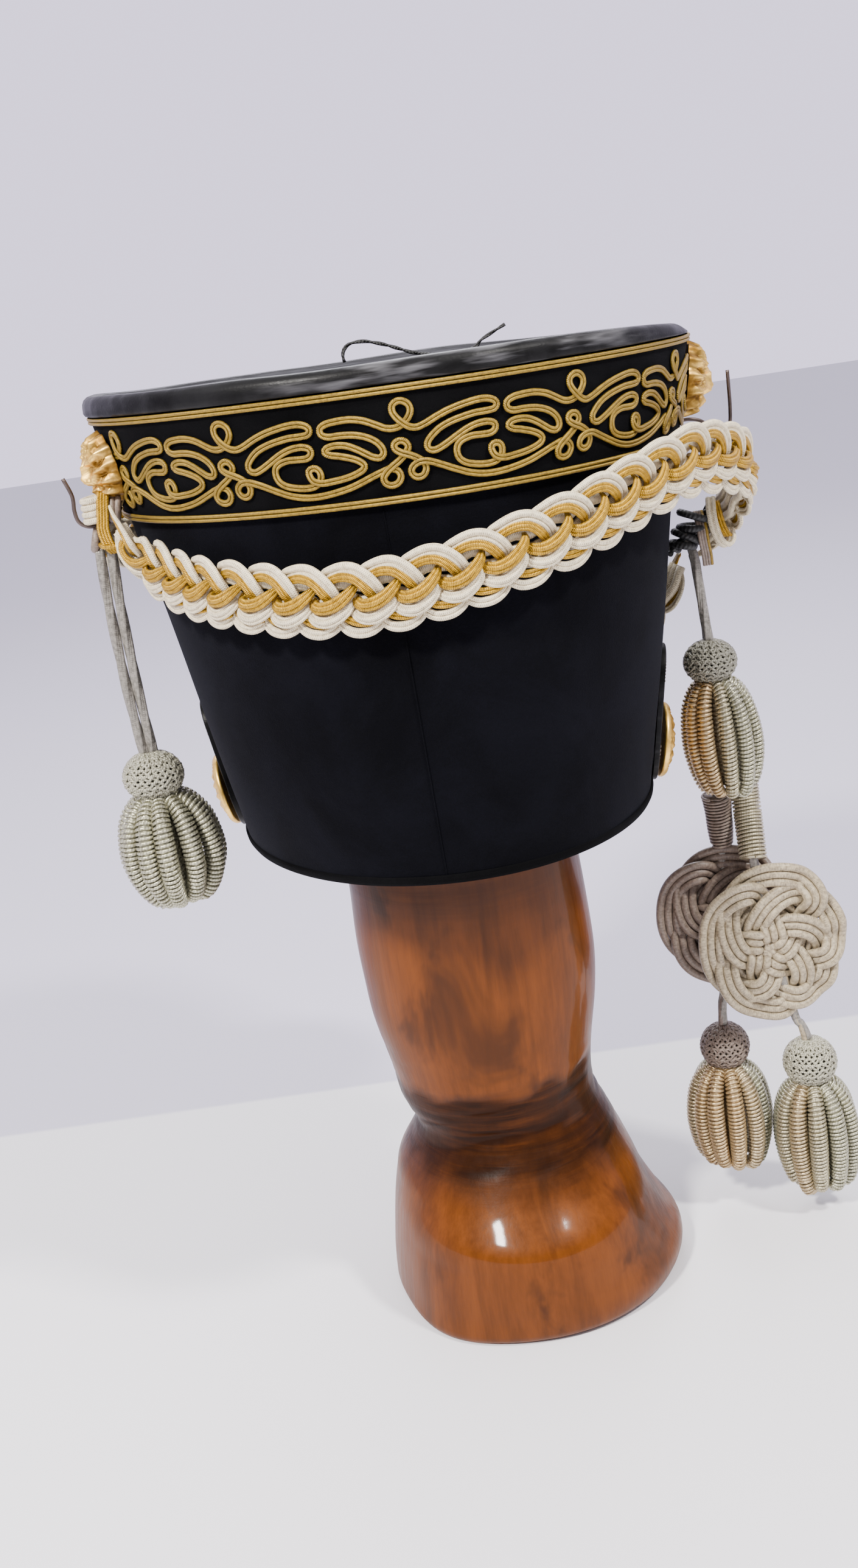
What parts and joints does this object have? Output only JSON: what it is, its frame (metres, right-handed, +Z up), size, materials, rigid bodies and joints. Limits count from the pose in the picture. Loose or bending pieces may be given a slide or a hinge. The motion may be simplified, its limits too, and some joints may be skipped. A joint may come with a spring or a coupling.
{
  "type": "shako hat on a wooden stand",
  "caption": "Black felt shako with a gold-embroidered band, plaited festoons, tassels and lion bosses, on a carved wooden stand.",
  "frame": {"origin": "on the floor, under the axis of the hat, in the foot of the wooden stand", "axes": "+Z up, +Y towards the front of the hat where the peak is, +X towards the wearer's right"},
  "size_m": [0.3196, 0.2927, 0.432],
  "materials": {
    "black_felt": "thick wool felt, short nap",
    "black_velvet": "velvet",
    "black_leather": "varnished",
    "gold_braid": "metal-thread braid, aged",
    "gilt_metal": "gilt, stamped",
    "dark_wire": "dull, darkened",
    "white_gold_cord": "plaited round cord, white and gold",
    "silver_grey_cord": "round cord, silver grey",
    "silver_bullion": "coiled metal-thread bullion",
    "cream_cord": "woven round cord, cream",
    "black_cord": "dull black cord",
    "varnished_wood": "varnished, worn"
  },
  "bodies": {
    "root": {"felt_body": "black_felt", "velvet_band": "black_velvet", "border_lower": "gold_braid", "border_upper": "gold_braid", "leather_crown": "black_leather", "peak": "black_leather", "lion_boss_left": "gilt_metal", "lion_boss_right": "gilt_metal", "strap_tab_left": "black_leather", "strap_tab_right": "black_leather", "rosette_left": "gilt_metal", "rosette_right": "gilt_metal", "hook_left": "dark_wire", "hook_right": "dark_wire", "wrap_left": "white_gold_cord", "festoon_back": "white_gold_cord", "festoon_front": "white_gold_cord", "lacing": "black_cord", "crown_tie": "black_cord", "tassel_left": "silver_bullion", "tassel_right": "silver_bullion", "tassel_flounder_front": "silver_bullion", "tassel_flounder_back": "silver_bullion", "shank_front": "silver_bullion", "shank_back": "silver_bullion", "flounder_front": "cream_cord", "flounder_back": "cream_cord", "cord_left_outer": "silver_grey_cord", "cord_left_inner": "silver_grey_cord", "cord_right": "silver_grey_cord", "cord_flounder_front": "silver_grey_cord", "cord_flounder_back": "silver_grey_cord", "stem_front": "silver_grey_cord", "stem_back": "silver_grey_cord", "wooden_stand": "varnished_wood"}
  },
  "joints": []
}
